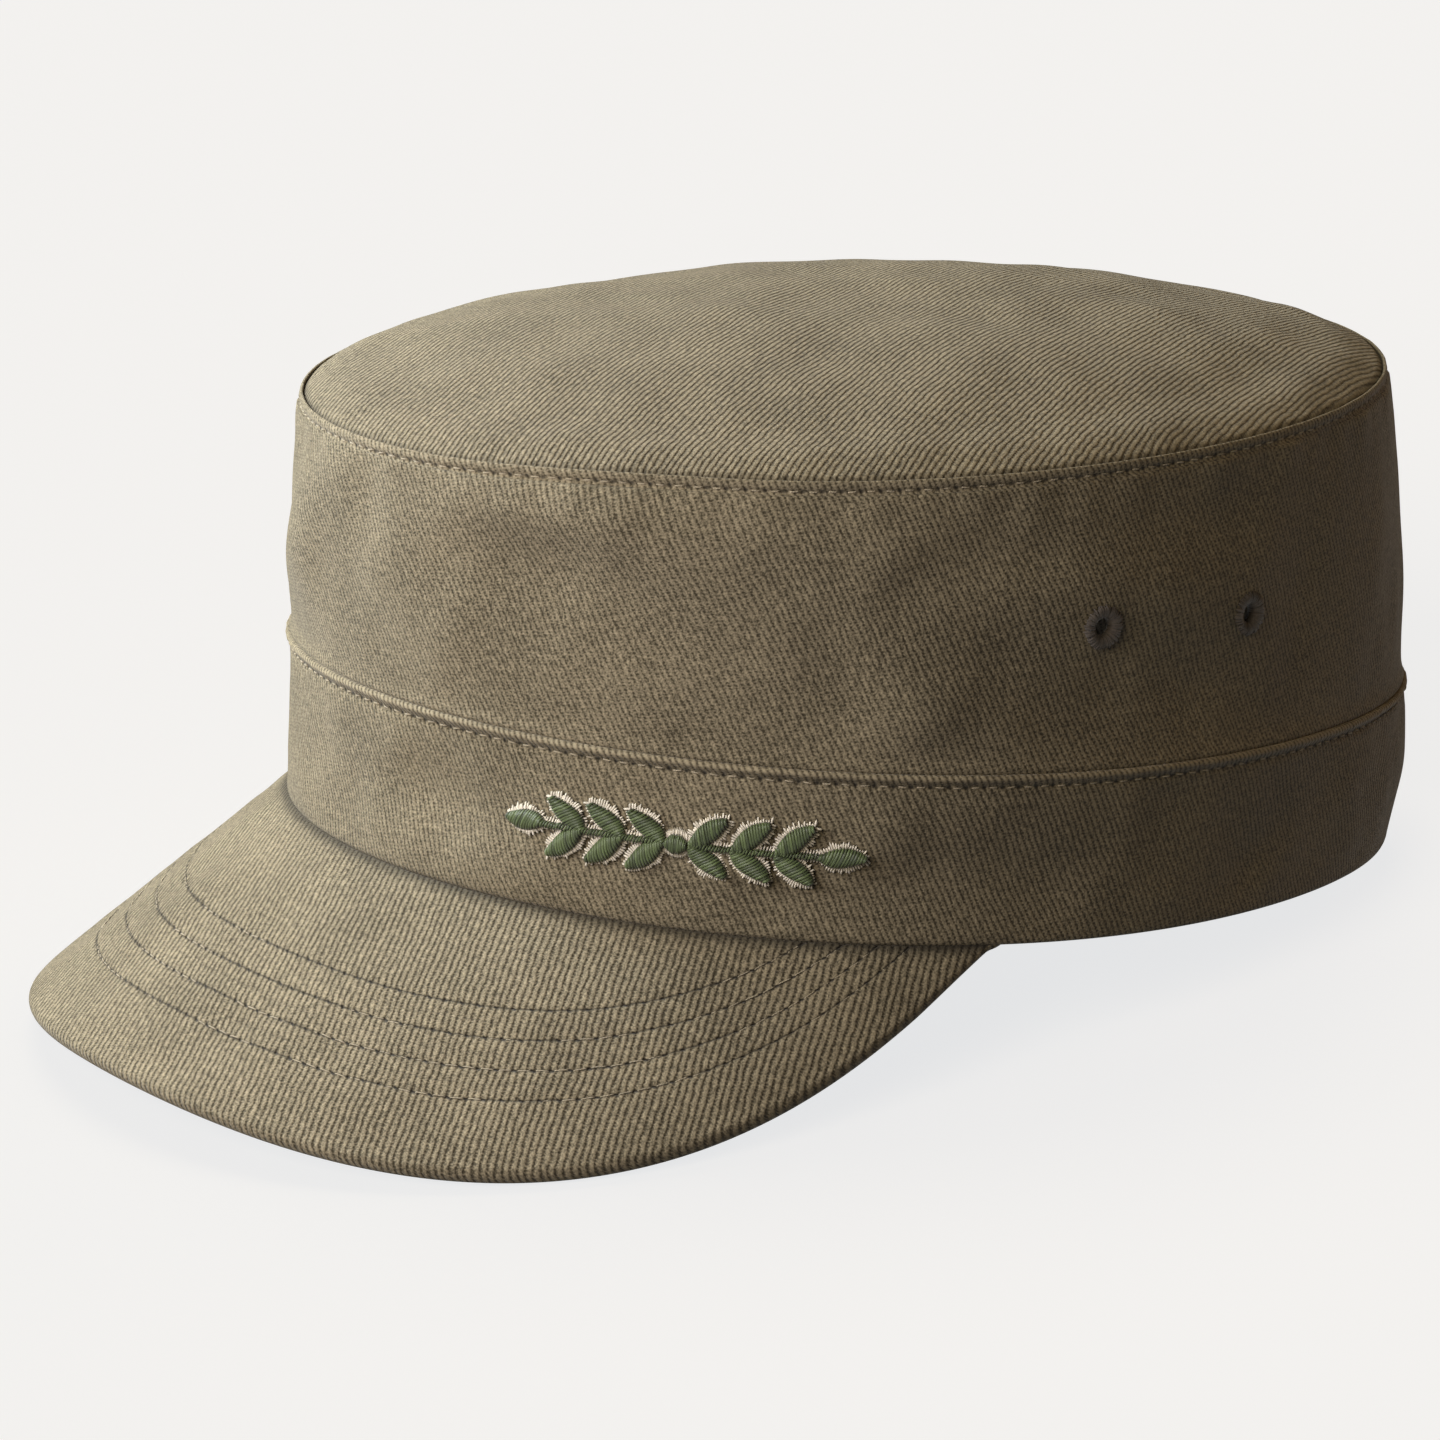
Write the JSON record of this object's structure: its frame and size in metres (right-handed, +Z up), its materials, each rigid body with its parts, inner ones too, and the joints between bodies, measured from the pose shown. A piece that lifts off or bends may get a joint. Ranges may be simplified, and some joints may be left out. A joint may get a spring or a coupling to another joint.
{
  "type": "army cap",
  "caption": "Flat-topped army cap in olive twill with a broad band, a stiff curved peak, embroidered vent eyelets and a small sprig.",
  "frame": {"origin": "bottom centre of the bounding box, on the surface that the cap rests on", "axes": "+Z up, -Y towards the peak, +X towards the wearer's left; the cap is tipped back by 9.7 degrees, as it rests on its peak and the back of its band"},
  "size_m": [0.1834, 0.2526, 0.109],
  "materials": {
    "crown_twill": "washed cotton twill, olive khaki",
    "band_twill": "washed cotton twill, doubled",
    "peak_twill": "cotton twill over a stiff board",
    "eyelet_thread": "dark satin stitch",
    "cream_thread": "cream embroidery underlay",
    "green_thread": "green padded satin stitch"
  },
  "bodies": {
    "root": {"crown_top": "crown_twill", "crown_side": "crown_twill", "band": "band_twill", "peak": "peak_twill", "eyelet_left_front": "eyelet_thread", "eyelet_left_rear": "eyelet_thread", "eyelet_right_front": "eyelet_thread", "eyelet_right_rear": "eyelet_thread", "sprig_ground": "cream_thread", "sprig_leaves": "green_thread"}
  },
  "joints": []
}
